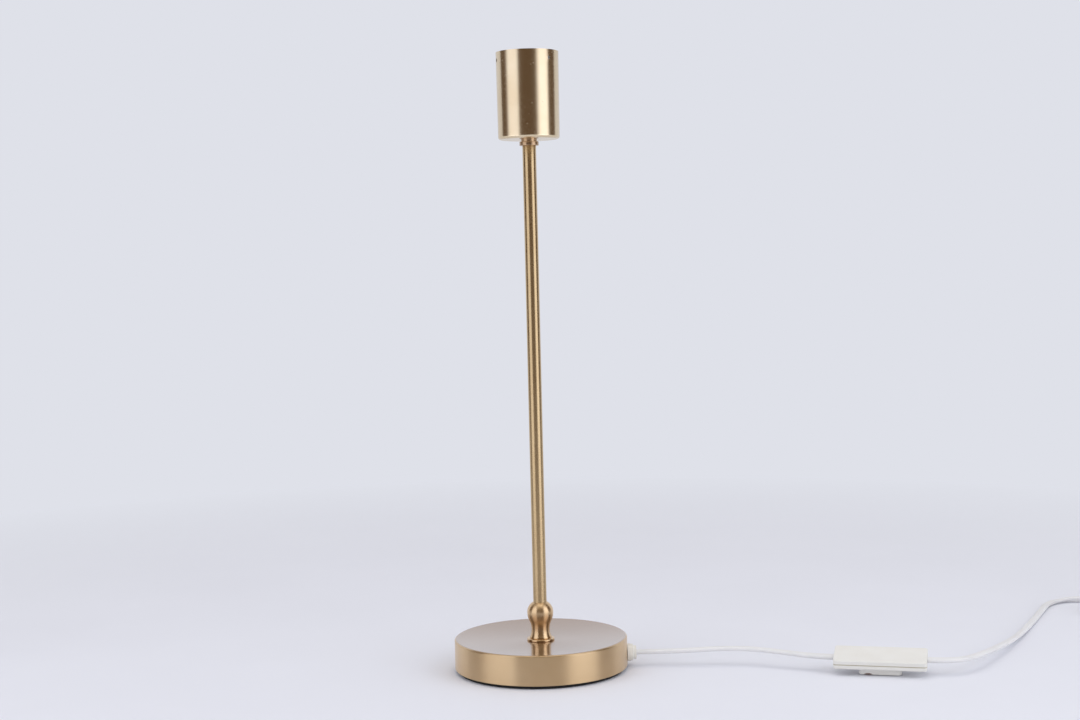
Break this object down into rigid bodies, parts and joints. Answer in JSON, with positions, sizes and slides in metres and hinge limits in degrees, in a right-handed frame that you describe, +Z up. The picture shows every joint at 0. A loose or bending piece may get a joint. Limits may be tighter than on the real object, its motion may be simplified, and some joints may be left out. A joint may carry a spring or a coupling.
{
  "type": "table lamp base with inline switch",
  "caption": "Brass table lamp base: round weighted foot, turned knob, slim stem and plain cup round a screw lampholder, with flat cord, inline rocker switch and flat plug.",
  "frame": {"origin": "on the floor under the middle of the round base", "axes": "+Z up along the stem; +X the way the cord leaves the base; -Y towards the viewer of the picture"},
  "size_m": [0.5955, 0.2545, 0.4544],
  "materials": {
    "brass": "satin, antique tone",
    "iron": "rough cast",
    "foam": "matte foam",
    "zinc": "zinc plated",
    "white_moulding": "satin moulded",
    "contact_brass": "bright",
    "nickel": "nickel plated",
    "white_cord": "soft sheen",
    "brown_core": "soft sheen",
    "blue_core": "soft sheen"
  },
  "bodies": {
    "lamp": {"base_cover": "brass", "base_weight": "iron", "base_pad": "foam", "base_washer": "zinc", "base_nut": "zinc", "foot_ring": "brass", "foot_knob": "brass", "stem_tube": "brass", "top_collar": "brass", "holder_cup": "brass", "cup_nut": "zinc", "grub_screws": "zinc", "holder_cap": "white_moulding", "holder_core": "white_moulding", "holder_skirt": "white_moulding", "thread_shell": "nickel", "centre_contact": "contact_brass", "side_contact": "contact_brass", "contact_rivets": "contact_brass", "terminal_blocks": "contact_brass", "terminal_screws": "zinc", "live_wire": "brown_core", "neutral_wire": "blue_core", "inner_cord": "white_cord", "cord_grip": "white_moulding", "grip_nut": "white_moulding", "cord_lead": "white_cord", "switch_back": "white_moulding", "switch_front": "white_moulding", "fixed_contacts": "contact_brass", "switch_terminals": "contact_brass", "switch_leads": "white_cord", "cord_clamps": "white_moulding", "shell_screws": "zinc", "cord_run": "white_cord", "cord_coil": "white_cord", "coil_tie": "white_moulding", "cord_tail": "white_cord", "plug_body": "white_moulding", "plug_pins": "nickel"},
    "rocker": {"switch_rocker": "white_moulding", "contact_bridge": "contact_brass"}
  },
  "joints": [
    {"name": "rocker_tilt", "type": "hinge", "parent": "lamp", "child": "rocker", "pos_m": [0.24457, -0.03915, 0.00591], "axis": [0.2399, 0.9483, 0.2079], "range_deg": [0, 9]}
  ]
}
